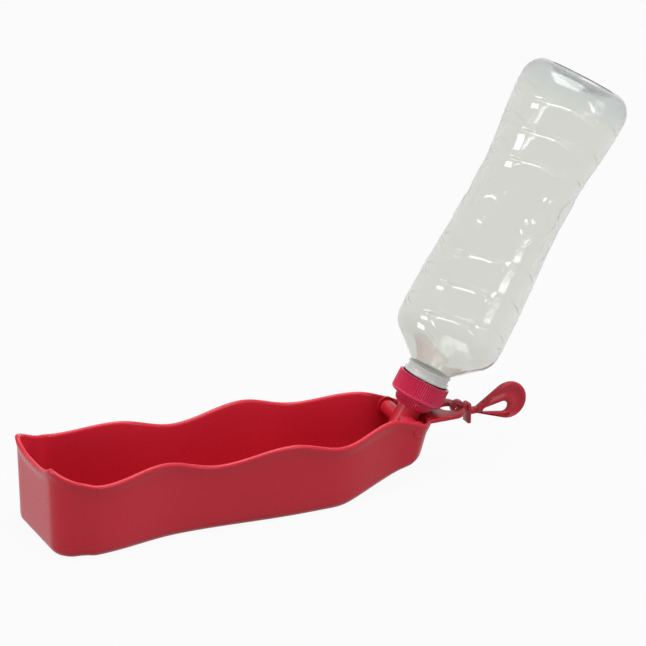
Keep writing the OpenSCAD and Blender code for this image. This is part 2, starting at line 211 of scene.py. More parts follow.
# %% [markdown]
# The other moulded finishes
#
# The strap is a softer plastic, about as glossy as the trough, with closer and deeper waves in
# its skin. The valve's plug is natural white acetal, the cap's gasket is cloudy silicone and the
# plug's ring is black rubber. Those three hardly show. Each could have nodes of its own, but all
# four are moulded, so the same function serves with other colours and grain.

# %% Strap, plug and seals
strap_elastomer = moulded_plastic(
    "moulded_strap_elastomer", "#BE2637", "#B02030", 0.24, 6, 0.02, 0.05
)
plug_acetal = moulded_plastic("moulded_white_acetal", "#E9E7E0", "#DDDBD2", 0.35, 8, 0.01, 0.05)
gasket_silicone = moulded_plastic(
    "moulded_clear_silicone", "#DADAD4", "#CFCFC8", 0.42, 8, 0.01, 0.06
)
ring_rubber = moulded_plastic("moulded_black_rubber", "#1B1B1C", "#131314", 0.55, 8, 0.01, 0.08)
print(strap_elastomer.name, plug_acetal.name, gasket_silicone.name, ring_rubber.name)

# %% [markdown]
# Blow-moulded clear plastic
#
# The bottle is blown from PET, which is clear with a slight grey tone. Its wall is half a
# millimetre thick, so light goes through nearly straight, and what the eye reads is the
# highlights on its grooves. A slow ripple, left by the blowing, makes those highlights waver.
# The tone is a little darker and bluer towards the base. That is painted shade, standing for the
# push-up seen through the wall. The tone is also a little darker from the top of the shoulder up
# the cone and the neck. The tone follows the distance along the bottle's axis, which a dot product
# of the place and the axis gives. A Transparent shader could stand for the thin wall, but only
# refraction through a real wall shades the bottle's edges. PET's own IOR is 1.57; 1.45 bends the
# far wall less, as a thin wall does.

# %% Clear PET
# Both changes of tone, the painted shade at the base and the darker cone, in mm from the base
base_shade_fade, neck_fade = (22, 4), (155, 180)
ripple_mm, ripple_height, haze_mm = 18, 0.12, 7

clear_pet, pet_tree, pet = start_material("blow_moulded_clear_pet")
pet.inputs["Transmission Weight"].default_value = 1.0
pet.inputs["IOR"].default_value = 1.45
pet_place = add_node(pet_tree, "ShaderNodeTexCoord").outputs["Object"]
along = add_node(pet_tree, "ShaderNodeVectorMath", {"operation": "DOT_PRODUCT"}, _0=pet_place)
along.inputs[1].default_value = (math.sin(open_lean), 0, math.cos(open_lean))
base_along = (pivot.x * math.sin(open_lean) + pivot.z * math.cos(open_lean) + bottle_base) * MM
# This mask carries the painted shade at the base, and it also makes the base rougher
base_shade_and_rough = add_node(
    pet_tree, "ShaderNodeMapRange", {"interpolation_type": "SMOOTHSTEP"},
    Value=along.outputs["Value"],
    From_Min=base_along - base_shade_fade[0] * MM, From_Max=base_along - base_shade_fade[1] * MM,
)
towards_neck = add_node(
    pet_tree, "ShaderNodeMapRange", {"interpolation_type": "SMOOTHSTEP"},
    Value=along.outputs["Value"],
    From_Min=base_along - neck_fade[0] * MM, From_Max=base_along - neck_fade[1] * MM,
)
# Painted shade: a darker, bluer tone at the base stands for the push-up seen through the wall
pet_with_painted_base_shade = add_node(
    pet_tree, "ShaderNodeMix", {"data_type": "RGBA"}, Factor=base_shade_and_rough.outputs[0],
    _6=linear("#E9EAE6"), _7=linear("#E2E5E4"),
)
neck_tint = add_node(
    pet_tree, "ShaderNodeMix", {"data_type": "RGBA"}, Factor=towards_neck.outputs[0],
    _6=pet_with_painted_base_shade.outputs[2], _7=linear("#E0E1DC"),
)
pet_tree.links.new(neck_tint.outputs[2], pet.inputs["Base Color"])
ripple = add_node(
    pet_tree, "ShaderNodeTexNoise", Vector=pet_place, Scale=1000 / ripple_mm, Detail=1.0
)
haze = add_node(pet_tree, "ShaderNodeTexNoise", Vector=pet_place, Scale=1000 / haze_mm, Detail=2.0)
pet_rough = add_node(pet_tree, "ShaderNodeMapRange", Value=haze.outputs[0], To_Min=0.04, To_Max=0.1)
pet_base_rough = add_node(
    pet_tree, "ShaderNodeMath", {"operation": "MULTIPLY_ADD"}, _0=base_shade_and_rough.outputs[0], _1=0.1,
    _2=pet_rough.outputs[0],
)
pet_tree.links.new(pet_base_rough.outputs[0], pet.inputs["Roughness"])
pet_bump = add_node(
    pet_tree, "ShaderNodeBump", Height=ripple.outputs[0], Strength=1.0, Distance=ripple_height * MM
)
pet_tree.links.new(pet_bump.outputs[0], pet.inputs["Normal"])
print(clear_pet.name)

# %% [markdown]
# Turning a bmesh into a piece
#
# Every piece ends the same way: doubles are merged, faces made to point outwards, the shape is
# scaled to metres, shaded smooth except over sharp edges, and hung on the CAD body it moves
# with. A second helper breaks the sharp edges of a shape with a small bevel, as a mould leaves
# them. Each step could be done by hand in Edit Mode, but a function treats all pieces alike.

# %% Finish a piece
weld_distance = 0.002
sharp_turn = 1.2


def finish_piece(name, bm, body, material, nodes=(), place=None, sharp=38):
    bmesh.ops.remove_doubles(bm, verts=bm.verts, dist=weld_distance)
    bmesh.ops.recalc_face_normals(bm, faces=bm.faces)
    matrix = Matrix.Scale(MM, 4) @ (place or Matrix.Identity(4))
    bmesh.ops.transform(bm, matrix=matrix, verts=bm.verts)
    mesh = bpy.data.meshes.new(name)
    bm.to_mesh(mesh)
    open_edges = sum(1 for e in bm.edges if not e.is_manifold)
    bm.free()
    mesh.polygons.foreach_set("use_smooth", [True] * len(mesh.polygons))
    mesh.set_sharp_from_angle(angle=math.radians(sharp))
    mesh.materials.append(material)
    piece = bpy.data.objects.new(name, mesh)
    bpy.context.scene.collection.objects.link(piece)
    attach(piece, body)
    if nodes:
        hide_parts(*nodes)
    print(name, len(mesh.polygons), "faces,", open_edges, "open edges")
    return piece


def break_edges(bm, offset, segments):
    rims = [e for e in bm.edges if e.is_manifold and e.calc_face_angle() > sharp_turn]
    bmesh.ops.bevel(
        bm, geom=rims, offset=offset, segments=segments, profile=0.5, affect="EDGES", material=-1
    )


print("edges that turn by over", round(math.degrees(sharp_turn)), "degrees are broken")

# %% [markdown]
# The trough's outline
#
# Seen from above the trough is a long tray: flat at the far end, wide at the bottle's heel,
# narrower at its waist, wide at the shoulder, then drawn in to a rounded nose round the hinge.
# The rim rises and falls in long waves. Both are made from a few heights and widths joined by
# half cosine waves, which is how such a smooth moulded edge runs. A Bezier curve could be drawn
# instead, but these numbers can be compared with the CAD source. k is the distance from the end
# wall.

# %% Waves of the trough
def ease(t):
    return (1 - math.cos(math.pi * min(1, max(0, t)))) / 2


def swell(k, points):
    i = 0
    while i < len(points) - 2 and k >= points[i + 1][0]:
        i += 1
    (k0, v0), (k1, v1) = points[i], points[i + 1]
    return v0 + (v1 - v0) * ease((k - k0) / (k1 - k0))


end_half = 35.4
corner_radius = 14
end_flat = end_half - corner_radius
hinge_half = 21.9
nose_reach = 15
tab_top = 34.3
nose_start = trough_length + 1
nose_end = trough_length + nose_reach
nose_bulge = nose_end - nose_start
width_points = [
    (corner_radius, end_half), (22.5, 38.4), (77, 31.3), (151, 35.6), (165, 35.6),
    (trough_length - 4, hinge_half), (nose_start, hinge_half),
]
# The side's rim: a peak at the end wall's corner, then dips and peaks by turns to the tab
corner_peak = 52.8
first_dip, first_dip_height = 28.3, 43.3
rim_points = [
    (first_dip, first_dip_height), (62.3, 46.6), (98.3, 39.5), (139.3, 44.8), (173.3, 38),
    (trough_length - 18, 42.7), (nose_end, tab_top),
]
# The end wall's rim is scooped between its corners
scoop_low, scoop_half = 47.2, 25
# The floor is flat under the bottle's body and rises to the nose
rise_start, rise_slope, rise_blend = 169, 0.2, 10


def side_rim(k):
    if k < first_dip:
        return first_dip_height + (corner_peak - first_dip_height) * (1 - k / first_dip) ** 2
    return swell(k, rim_points)


def rim_height(k, y):
    scoop = scoop_low + (corner_peak - scoop_low) * (abs(y) / scoop_half) ** 3
    return min(side_rim(k), scoop) if k < corner_radius else side_rim(k)


def floor_height(k):
    past = k - rise_start
    if past < 0:
        return 0
    if past < rise_blend:
        return rise_slope * past**2 / (2 * rise_blend)
    return rise_slope * (past - rise_blend / 2)


end_steps, corner_steps, side_steps, nose_steps = 8, 14, 72, 18
plan = [(0, end_flat * i / end_steps) for i in range(end_steps)]
for i in range(corner_steps):
    a = math.pi / 2 * i / corner_steps
    plan.append((corner_radius * (1 - math.cos(a)), end_flat + corner_radius * math.sin(a)))
side_first = len(plan)
for i in range(side_steps):
    k = corner_radius + (nose_start - corner_radius) * i / side_steps
    plan.append((k, swell(k, width_points)))
for i in range(nose_steps + 1):
    a = math.pi / 2 * i / nose_steps
    plan.append((nose_start + nose_bulge * math.sin(a), hinge_half * math.cos(a)))
nose_tip = len(plan) - 1
print("stations round half the trough:", nose_tip + 1)

# %% [markdown]
# The trough's section
#
# The wall leans out by its draft of 1.5 degrees, so the tray leaves its mould. It starts from a
# rounded bottom edge, swells at the rim by about a millimetre, and comes down inside to the
# floor. A bevelled curve could carry one section round the outline, but the rim's height changes
# on the way, so each station has its own row of (inset, height) points. At the nose the wall
# also leans back towards the trough.

# %% Section rows
draft = math.tan(math.radians(1.5))
draft_height = 44
rim_bead = 0.9
rim_bead_height = 3.2
bead_start = 2.4 * rim_bead_height
bead_run = 1.9 * rim_bead_height
bottom_radius = 5
inner_radius = bottom_radius - wall
arc_steps = 8
bead_steps = 6
nose_lean = 0.28
lean_start = trough_length - 24


def section(k, y):
    top, low = rim_height(k, y), floor_height(k)
    rows = []

    def drafted(z):
        return (draft_height - z) * draft

    for i in range(arc_steps + 1):
        a = math.pi / 2 * i / arc_steps
        z = low + bottom_radius * (1 - math.cos(a))
        rows.append((drafted(z) + bottom_radius * (1 - math.sin(a)), z))
    for f in (0.3, 0.6, 0.85):
        z = low + bottom_radius + (top - bead_start - low - bottom_radius) * f
        rows.append((drafted(z), z))
    # The rim swells outwards in a soft S, so that the mould can open
    for i in range(bead_steps + 1):
        z = top - bead_start + bead_run * i / bead_steps
        rows.append((drafted(z) - rim_bead * ease(i / bead_steps), z))
    centre, half = (wall - rim_bead) / 2, (wall + rim_bead) / 2
    for i in range(1, arc_steps + 1):
        a = math.pi * i / arc_steps
        z = top - 0.5 * rim_bead_height * (1 - math.sin(a))
        rows.append((drafted(top) + centre - half * math.cos(a), z))
    for f in (0.85, 0.5, 0.2):
        z = low + bottom_radius + (top - rim_bead_height - low - bottom_radius) * f
        rows.append((drafted(z) + wall, z))
    for i in range(arc_steps, -1, -1):
        a = math.pi / 2 * i / arc_steps
        z = low + floor_thickness + inner_radius * (1 - math.cos(a))
        rows.append((drafted(z) + wall + inner_radius * (1 - math.sin(a)), z))
    return rows


def plan_normal(i):
    if i == 0:
        return (-1, 0)
    if i == nose_tip:
        return (1, 0)
    dk, dy = plan[i + 1][0] - plan[i - 1][0], plan[i + 1][1] - plan[i - 1][1]
    size = math.hypot(dk, dy)
    return (-dy / size, dk / size)


def wall_point(i, side, inset, z):
    k, y = plan[i]
    n = plan_normal(i)
    lean = nose_lean * max(0, tab_top - z) * ease((k - lean_start) / (nose_end - lean_start))
    return Vector((k - n[0] * inset - lean - pivot.x, side * (y - n[1] * inset), z))


sections = [section(*plan[i]) for i in range(nose_tip + 1)]
print("points in each section:", len(sections[0]))

# %% [markdown]
# Making the trough
#
# A ring of edges from `create_circle` is laid along the outline and then extruded row by row up
# the outside, over the rim and down the inside. A block could be hollowed with a Boolean, but
# its rim would have to be rounded afterwards, and here the rows give it at once. The two floors
# are bridged from side to side.

# %% Trough shell
def new_ring(bm, segments, radius=1):
    circle = bmesh.ops.create_circle(bm, cap_ends=False, segments=segments, radius=radius)
    return list(circle["verts"])


def ring_edges(bm, ring):
    return [bm.edges.get((v, ring[(c + 1) % len(ring)])) for c, v in enumerate(ring)]


def extrude_ring(bm, ring):
    geometry = bmesh.ops.extrude_edge_only(bm, edges=ring_edges(bm, ring))["geom"]
    new = {v for v in geometry if isinstance(v, bmesh.types.BMVert)}
    return [next(e.other_vert(v) for e in v.link_edges if e.other_vert(v) in new) for v in ring]


def ring_floor(bm, ring):
    sides = []
    for c in range(side_first, nose_tip - 1):
        sides.append(bm.edges.get((ring[c], ring[c + 1])))
        sides.append(bm.edges.get((ring[-c], ring[-(c + 1)])))
    bmesh.ops.bridge_loops(bm, edges=sides)
    bm.faces.new([ring[c] for c in range(-side_first, side_first + 1)])
    bm.faces.new(ring[nose_tip - 1 : nose_tip + 2])


shell = bmesh.new()
count = 2 * nose_tip
first_ring = new_ring(shell, count)
ring = first_ring
for row in range(len(sections[0])):
    if row:
        ring = extrude_ring(shell, ring)
    for c, v in enumerate(ring):
        i, side = (c, 1) if c <= nose_tip else (count - c, -1)
        v.co = wall_point(i, side, *sections[i][row])
ring_floor(shell, first_ring)
ring_floor(shell, ring)
finish_piece(
    "trough_shell", shell, "trough_body", red_polypropylene, ["trough"], sharp=50
)

# %% [markdown]
# The tab
#
# A flat tongue grows out of the nose at rim height and carries the strap. Its hole is a circle,
# and the tongue is the band between that circle and an outer outline, bridged and then
# extruded to its thickness. A Boolean could cut the hole, but bridging leaves cleaner faces
# round it. The outline is worked out direction by direction from the hole's centre: straight
# sides, round corners, and an end inside the nose's wall.

# %% Tab with its hole
tab_reach = 37.5
tab_half = 13.7
tab_thickness = 2.3
tab_corner = 9
tab_bar = 2.3
tab_hole = 5
hole_x = tab_reach - tab_bar - tab_hole
tab_steps = 144


def tab_edge(angle):
    dx, dy = math.cos(angle), math.sin(angle)
    reach = min(
        (tab_reach - hole_x) / dx if dx > 1e-6 else 99,
        tab_half / abs(dy) if abs(dy) > 1e-6 else 99,
    )
    x, y = reach * dx, reach * dy
    corner_x, corner_y = tab_reach - hole_x - tab_corner, tab_half - tab_corner
    if x > corner_x and abs(y) > corner_y:
        cy = math.copysign(corner_y, dy)
        b = dx * corner_x + dy * cy
        reach = b + math.sqrt(b * b - corner_x**2 - cy**2 + tab_corner**2)
    # Towards the trough the tongue ends on the ellipse in the middle of the nose's wall
    a, h = nose_bulge - wall / 2, hinge_half - wall / 2
    ox = hole_x - (nose_start - trough_length)
    qa = (dx / a) ** 2 + (dy / h) ** 2
    qb = 2 * ox * dx / a**2
    qc = (ox / a) ** 2 - 1
    root = qb * qb - 4 * qa * qc
    if dx < 0 and root > 0:
        reach = min(reach, (-qb - math.sqrt(root)) / (2 * qa))
    return reach


tab = bmesh.new()
new_ring(tab, tab_steps, tab_hole)
for v in new_ring(tab, tab_steps, 20):
    angle = math.atan2(v.co.y, v.co.x)
    v.co.xy = Vector((math.cos(angle), math.sin(angle))) * tab_edge(angle)
bmesh.ops.bridge_loops(tab, edges=tab.edges[:])
top = bmesh.ops.extrude_face_region(tab, geom=tab.faces[:])["geom"]
top_verts = [v for v in top if isinstance(v, bmesh.types.BMVert)]
bmesh.ops.translate(tab, verts=top_verts, vec=(0, 0, tab_thickness))
bmesh.ops.recalc_face_normals(tab, faces=tab.faces)
break_edges(tab, 0.5, 3)
tab_place = Matrix.Translation((pivot.x + hole_x, 0, tab_top - tab_thickness))
finish_piece("trough_tab", tab, "trough_body", red_polypropylene, place=tab_place)

# %% [markdown]
# Turned shapes
#
# The bottle, cap and collar are round about the bottle's axis. Each is an outline of
# (radius, height) points spun through a full turn. An outline that starts and ends on the axis
# is left open, and the spin closes it. The Screw modifier could do the same, but a spun bmesh
# has real points, and the ribs and grooves are then pressed in by moving them, as the mould
# would.

# %% Spin an outline
def spun(outline, steps, closed=True):
    bm = bmesh.new()
    verts = [bm.verts.new((r, 0, z)) for r, z in outline]
    edges = [bm.edges.new(pair) for pair in zip(verts, verts[1:] + (verts[:1] if closed else []))]
    bmesh.ops.spin(
        bm, geom=verts + edges, cent=(0, 0, 0), axis=(0, 0, 1), angle=2 * math.pi, steps=steps,
        use_merge=True,
    )
    bmesh.ops.remove_doubles(bm, verts=bm.verts, dist=0.001)
    return bm


def arc(cx, cz, radius, start, end, steps):
    angles = [math.radians(start + (end - start) * i / steps) for i in range(steps + 1)]
    return [(cx + radius * math.cos(a), cz + radius * math.sin(a)) for a in angles]


def press_ribs(bm, count, inner, depth, low, high, fade):
    """Press count valleys into the skin beyond the radius inner, faded out at low and at high."""
    for v in bm.verts:
        r = math.hypot(v.co.x, v.co.y)
        if r < inner:
            continue
        f = min(1, max(0, (v.co.z - low) / fade), max(0, (high - v.co.z) / fade))
        if f > 0:
            valley = 0.5 - 0.5 * math.cos(count * math.atan2(v.co.y, v.co.x))
            v.co.xy *= (r - depth * f * valley) / r


print("a quarter arc of 8 steps has", len(arc(0, 0, 1, 0, 90, 8)), "points")

# %% [markdown]
# Screw cap
#
# The cap's skirt is covered with fine upright ribs for the fingers. They fade out before the
# smooth rounded edge at the spout's end. An Array of single ribs could be set round a plain cap,
# but valleys pressed into one skin leave no seams. Eight steps of the spin go to each rib, so
# that the ribs stay round.

# %% Screw cap
cap_start = 13.85
cap_radius, cap_height, cap_plate, cap_edge = 15.5, 12.4, 1.5, 2.2
tube_hole, thread_bore = 7.5, 13.9
cap_ribs = 72
steps_per_rib = 8

cap_outline = [(tube_hole, 0)] + arc(cap_radius - cap_edge, cap_edge, cap_edge, -90, 0, 8)
cap_outline += [(cap_radius, z) for z in (2.6, 3.1, 3.8, 6, 8, 10, 11, 11.5, 11.9)]
cap_outline += arc(cap_radius - 0.4, cap_height - 0.4, 0.4, 0, 90, 3)
cap_outline += arc(thread_bore + 0.3, cap_height - 0.3, 0.3, 90, 180, 3)
cap_outline += [(thread_bore, cap_plate), (tube_hole, cap_plate)]
cap = spun(cap_outline, cap_ribs * steps_per_rib)
press_ribs(cap, cap_ribs, inner=14.5, depth=0.8, low=1.6, high=cap_height, fade=0.7)
finish_piece(
    "ribbed_screw_cap", cap, "cap", cap_polypropylene, ["screw_cap"],
    place=axis_frame @ Matrix.Translation((0, 0, cap_start)), sharp=50,
)

# %% [markdown]
# Twist collar
#
# The collar below the cap opens the valve by a quarter turn. It is ribbed like the cap, with a
# wide rounding below, so that it clears the tab's root. The groove inside it lifts the plug. A
# copy of the cap could be bent to this shape, but a second outline is simpler.

# %% Twist collar
collar_start = 8.25
collar_radius, collar_height, collar_bore = 11.2, 5.3, 7.25
groove_radius, groove_low, groove_high = 8.75, 1.15, 4.85
collar_ribs = 52

collar_outline = arc(collar_bore, 4, collar_radius - collar_bore, -90, 0, 10)
collar_outline += [(collar_radius, z) for z in (4.3, 4.6, 4.8)]
collar_outline += arc(collar_radius - 0.4, collar_height - 0.4, 0.4, 0, 90, 3)
collar_outline += [(collar_bore, collar_height), (collar_bore, groove_high)]
collar_outline += [(groove_radius, groove_high), (groove_radius, groove_low)]
collar_outline += [(collar_bore, groove_low)]
collar = spun(collar_outline, collar_ribs * steps_per_rib)
press_ribs(collar, collar_ribs, inner=9.2, depth=0.7, low=0.9, high=collar_height, fade=0.7)
finish_piece(
    "ribbed_twist_collar", collar, "collar", cap_polypropylene, ["twist_collar"],
    place=axis_frame @ Matrix.Translation((0, 0, collar_start)), sharp=50,
)

# %% [markdown]
# Bottle
#
# The bottle is blown into a mould: a round heel, a waist for the hand, a round shoulder, a cone
# and a threaded neck. The outline is spun finely enough for the grooves, and the wall is given
# by a Solidify modifier, inwards, half a millimetre thick. A cylinder could be scaled loop by
# loop, but an outline keeps each radius as a number. Heights run from the base.

# %% Bottle outline
foot_radius, heel_radius, waist_radius, shoulder_radius = 22, 32.5, 28, 31.5
heel_height, waist_height, shoulder_height = 13, 72, 158
body_points = [
    (heel_height, heel_radius), (waist_height, waist_radius), (shoulder_height, shoulder_radius),
]
push_up_radius, push_up = 19, 6
shoulder_arc, shoulder_top, cone_angle = 14, 163, 49
neck_radius, neck_bore = 12.4, 10.7
thread_start, thread_pitch = 195.3, 2.7
thread_ridge = [(0, 0), (0.9, 0.6), (1.1, 0.9), (1.1, 1.2), (0.9, 1.5), (0, 2.1)]

bottle_outline = []
for i in range(19):
    a = math.radians(5 * i)
    bottle_outline.append((push_up_radius * math.sin(a), push_up * math.cos(a)))
bottle_outline += [(19.8, -0.05), (21, -0.1)]
for i in range(16):
    a = math.radians(6 * i)
    r = foot_radius + (heel_radius - foot_radius) * math.sin(a)
    bottle_outline.append((r, heel_height * (1 - math.cos(a))))
# Rows lie close where a groove or a bubble is pressed, and wide apart elsewhere
groove_heights = [20, 39, 56, 116, 135.5, 155]
rows = {13.9, 14.5, 15.2, 16, 25.5, 28, 31, 33.5, 44.5, 47.5, 50.5}
rows |= {111, 121.5, 125, 128.5, 141, 144.5, 148, 150.5}
rows |= {61.5 + 0.95 * i for i in range(50)}
for h in groove_heights:
    rows |= {h + off for off in (-3, -2.2, -1.5, -1, -0.6, -0.3, 0, 0.3, 0.6, 1, 1.5, 2.2, 3)}
bottle_outline += [(swell(h, body_points), h) for h in sorted(rows)]
bottle_outline += [(shoulder_radius, h) for h in (159.5, 161)]
bottle_outline += arc(shoulder_radius - shoulder_arc, shoulder_top, shoulder_arc, 0, cone_angle, 12)
bottle_outline += [(19.5, 179.8), (12.9, 185.55), (12.5, 186.0)]
bottle_outline += [(neck_radius, h) for h in (186.8, 189.9, 193.4)]
for h in (thread_start, thread_start + thread_pitch):
    bottle_outline += [(neck_radius + out, h + rise) for out, rise in thread_ridge]
bottle_outline += [(12.3, bottle_height - 0.2), (12.0, bottle_height)]
bottle_outline += [(neck_bore, bottle_height), (neck_bore, 196)]
bottle = spun(bottle_outline, 208, closed=False)
print("bottle skin", len(bottle.faces), "faces")

# %% [markdown]
# Grooves and bubbles
#
# Six narrow grooves run round the bottle in waves and stiffen it. Round the waist the mould has
# a plain relief of rings, drawn here as bubbles of different sizes. Each is a small dip or
# ridge whose depth falls off smoothly to both sides. A bump texture could draw them, but real
# relief also bends the light that passes through. The rows of the skin are first bent into the
# grooves' waves, so each groove runs along its own rows and stays crisp.

# %% Press the grooves
# Each bubble's direction in degrees, its height and its radius; 0 faces the trough's near side
bubbles = [
    (-40, 72, 8.5), (-2, 80, 11), (34, 68, 6), (22, 98, 7), (-30, 96, 5), (62, 88, 8),
    (100, 76, 10), (130, 96, 6), (150, 70, 7), (180, 86, 11), (214, 72, 6), (236, 96, 8),
    (262, 78, 7),
]
groove_depth, groove_width = 0.6, 0.85
lip_height, lip_width, lip_place = 0.25, 0.8, 1.9
bubble_height, bubble_width = 0.42, 1.0
wave_height, wave_count = 3, 3


def bump_at(distance, width):
    return math.exp(-((distance / width) ** 2))


def groove_wave(theta, h):
    calm = ease((h - 13.5) / 6) * ease((164 - h) / 9)
    return wave_height * calm * math.cos(wave_count * (theta + math.radians(35)))


for v in bottle.verts:
    h = v.co.z
    if not 13.6 < h < 165 or math.hypot(v.co.x, v.co.y) < 26:
        continue
    theta = math.atan2(v.co.y, v.co.x)
    v.co.z = h + groove_wave(theta, h)
    r = math.hypot(v.co.x, v.co.y)
    if v.co.z < 162:
        r = swell(max(heel_height, min(shoulder_height, v.co.z)), body_points)
    change = 0
    for groove in groove_heights:
        off = h - groove
        lips = bump_at(off - lip_place, lip_width) + bump_at(off + lip_place, lip_width)
        change += lip_height * lips - groove_depth * bump_at(off, groove_width)
    for angle, height, size in bubbles:
        turned = (math.degrees(theta) - angle + 180) % 360 - 180
        distance = math.hypot(math.radians(turned) * r, v.co.z - height)
        change += bubble_height * bump_at(distance - size, bubble_width)
    v.co.xy = Vector((math.cos(theta), math.sin(theta))) * (r + change)
bottle_piece = finish_piece(
    "clear_bottle", bottle, "bottle_body", clear_pet, ["bottle"],
    place=bottle_frame @ Matrix.Rotation(math.radians(90), 4, "Z"), sharp=60,
)
thickness = bottle_piece.modifiers.new("wall", "SOLIDIFY")
thickness.thickness = 0.5 * MM
thickness.offset = -1

# %% [markdown]
# Neck ring
#
# The neck is moulded thick before the bottle is blown, and the capping machine holds it by a
# ring. A lesser ring marks where the cone starts. Both could be part of the bottle's outline, but
# then they would share its clear finish. That thick PET is cloudier than the blown wall, so it
# lets only a quarter of the light through, and its cloud is a fine noise.

# %% Neck ring
cloud_mm = 3

neck_pet, neck_tree, neck_shader = start_material("thick_neck_pet")
neck_place = add_node(neck_tree, "ShaderNodeTexCoord").outputs["Object"]
cloud = add_node(
    neck_tree, "ShaderNodeTexNoise", Vector=neck_place, Scale=1000 / cloud_mm, Detail=2.0
)
neck_tone = add_node(
    neck_tree, "ShaderNodeMix", {"data_type": "RGBA"}, Factor=cloud.outputs[0],
    _6=linear("#F5F6F3"), _7=linear("#EDEEEB"),
)
neck_tree.links.new(neck_tone.outputs[2], neck_shader.inputs["Base Color"])
neck_shader.inputs["Roughness"].default_value = 0.15
neck_shader.inputs["Transmission Weight"].default_value = 0.25
neck_outline = [
    (11.8, 186.4), (12.7, 186.4), (13.2, 186.8), (13.2, 187.5), (12.7, 187.9), (12.7, 190.2),
    (13.3, 190.4), (13.7, 190.8), (13.7, 192.3), (13.5, 192.6), (12.7, 192.85), (11.8, 192.95),
]
finish_piece(
    "neck_ring", spun(neck_outline, 160), "bottle_body", neck_pet,
    place=bottle_frame, sharp=60,
)

# %% [markdown]
# Hinge pads
#
# Inside each wall a round pad takes the spout's pin. A disc could be bored with a Boolean, but a
# spun ring has its bore from the start. That bore is a twentieth of a millimetre wider in radius
# than the pin.

# %% Hinge pads
pin_bore, pad_radius, pad_depth, pad_face = 2.2, 5.6, 1.4, 19.1


def on_wall(side, y):
    outwards = Matrix.Rotation(-side * math.pi / 2, 4, "X")
    return Matrix.Translation((pivot.x, side * y, pivot.z)) @ outwards


for side, name in ((-1, "hinge_pad_left"), (1, "hinge_pad_right")):
    pad = spun([(pin_bore, 0), (pad_radius, 0), (pad_radius, pad_depth), (pin_bore, pad_depth)], 48)
    break_edges(pad, 0.2, 2)
    finish_piece(
        name, pad, "trough_body", red_polypropylene, place=on_wall(side, pad_face)
    )

# %% [markdown]
# Pin bosses
#
# Outside each wall the mould leaves a low round boss with a dished face over the pin. It could be
# raised out of the wall's own faces, but those are too wide for so small a circle. So it is a
# disc, spun from an outline that starts and ends on the axis, and its foot is sunk in the wall.

# %% Pin bosses outside
boss_face = 21.55
boss_outline = [(0, -0.8), (3.1, -0.8), (3.1, 0.3), (2.8, 0.5), (2.4, 0.4), (2.1, 0.05), (0, 0.05)]
for side, name in ((-1, "hinge_boss_near"), (1, "hinge_boss_far")):
    finish_piece(
        name, spun(boss_outline, 48, closed=False), "trough_body", red_polypropylene,
        place=on_wall(side, boss_face),
    )

# %% [markdown]
# Strap
#
# The strap is one soft moulding: an eye that turns on the tab's bar, a keeper band across it,
# and a long loop for a finger or a belt. The loop's outline is a drop, and its hole a smaller
# drop lower down. Both could be drawn as curves, but a drop is simply the tight outline round a
# small and a large circle, and in each direction its point lies on the circle that reaches
# further.

# %% Drop outlines
eye_x = tab_reach - 1.45
eye_z = tab_top - tab_thickness / 2 - pivot.z
strap_place = Matrix.Translation(pivot + Vector((eye_x, 0, eye_z)))


def drop(small, large, angle):
    """The point of the drop round two circles, each (x, z, radius), in the direction angle."""
    (x0, z0, r0), (x1, z1, r1) = small, large
    cx, cz = math.cos(angle), math.sin(angle)
    reach0, reach1 = x0 * cx + z0 * cz + r0, x1 * cx + z1 * cz + r1
    x, z, r = (x1, z1, r1) if reach1 >= reach0 else (x0, z0, r0)
    return Vector((x + r * cx, z + r * cz))


print("strap's eye, millimetres from the hinge:", round(eye_x, 2), round(eye_z, 2))

# %% [markdown]
# Strap loop
#
# The loop is thick at both rims and thin in the web between them. A plate with a Boolean hole
# would be flat, so rings of edges are extruded instead, from the outer drop to the inner one and
# back again on the other side, where the last ring is bridged to the first. Each row is a share
# of the way across and half the thickness there.

# %% Strap loop
outer_drop = ((13, -3.9, 1.9), (33.2, -1.2, 11))
inner_drop = ((17.3, -4.9, 1.1), (29.2, -4.7, 3.2))
loop_steps = 128
loop_rows = [
    (0.0, 0.0), (0.01, 0.9), (0.04, 1.5), (0.09, 1.8), (0.19, 1.8), (0.26, 1.3), (0.31, 0.8),
    (0.58, 0.8), (0.64, 1.2), (0.72, 1.6), (0.86, 1.6), (0.95, 1.3), (0.99, 0.7), (1.0, 0.0),
]
loop_rows += [(f, -h) for f, h in reversed(loop_rows[1:-1])]


def loop_point(step, across, thick):
    angle = 2 * math.pi * step / loop_steps
    p = drop(*outer_drop, angle).lerp(drop(*inner_drop, angle), across)
    return Vector((p.x, thick, p.y))


loop = bmesh.new()
start_ring = new_ring(loop, loop_steps)
ring = start_ring
for row, (across, thick) in enumerate(loop_rows):
    if row:
        ring = extrude_ring(loop, ring)
    for c, v in enumerate(ring):
        v.co = loop_point(c, across, thick)
bmesh.ops.bridge_loops(loop, edges=ring_edges(loop, start_ring) + ring_edges(loop, ring))
finish_piece(
    "strap_loop", loop, "strap", strap_elastomer, ["carry_strap"],
    place=strap_place, sharp=60,
)

# %% [markdown]
# Strap eye, neck, root and keeper
#
# The eye is a ring round the tab's bar. The neck and root join it to the loop, and the keeper is
# a band across them. They could be extruded out of the loop, but they move with it anyway, so
# each is a plain bar: a cube that is scaled, moved and bevelled.

# %% Strap eye and keeper
eye_bore, eye_radius, eye_half = 2.25, 4.1, 2.4
eye_outline = [
    (eye_bore, -eye_half), (eye_radius, -eye_half), (eye_radius, eye_half), (eye_bore, eye_half),
]
eye = spun(eye_outline, 64)
break_edges(eye, 0.5, 3)
finish_piece(
    "strap_eye", eye, "strap", strap_elastomer,
    place=strap_place @ Matrix.Rotation(math.pi / 2, 4, "X"),
)


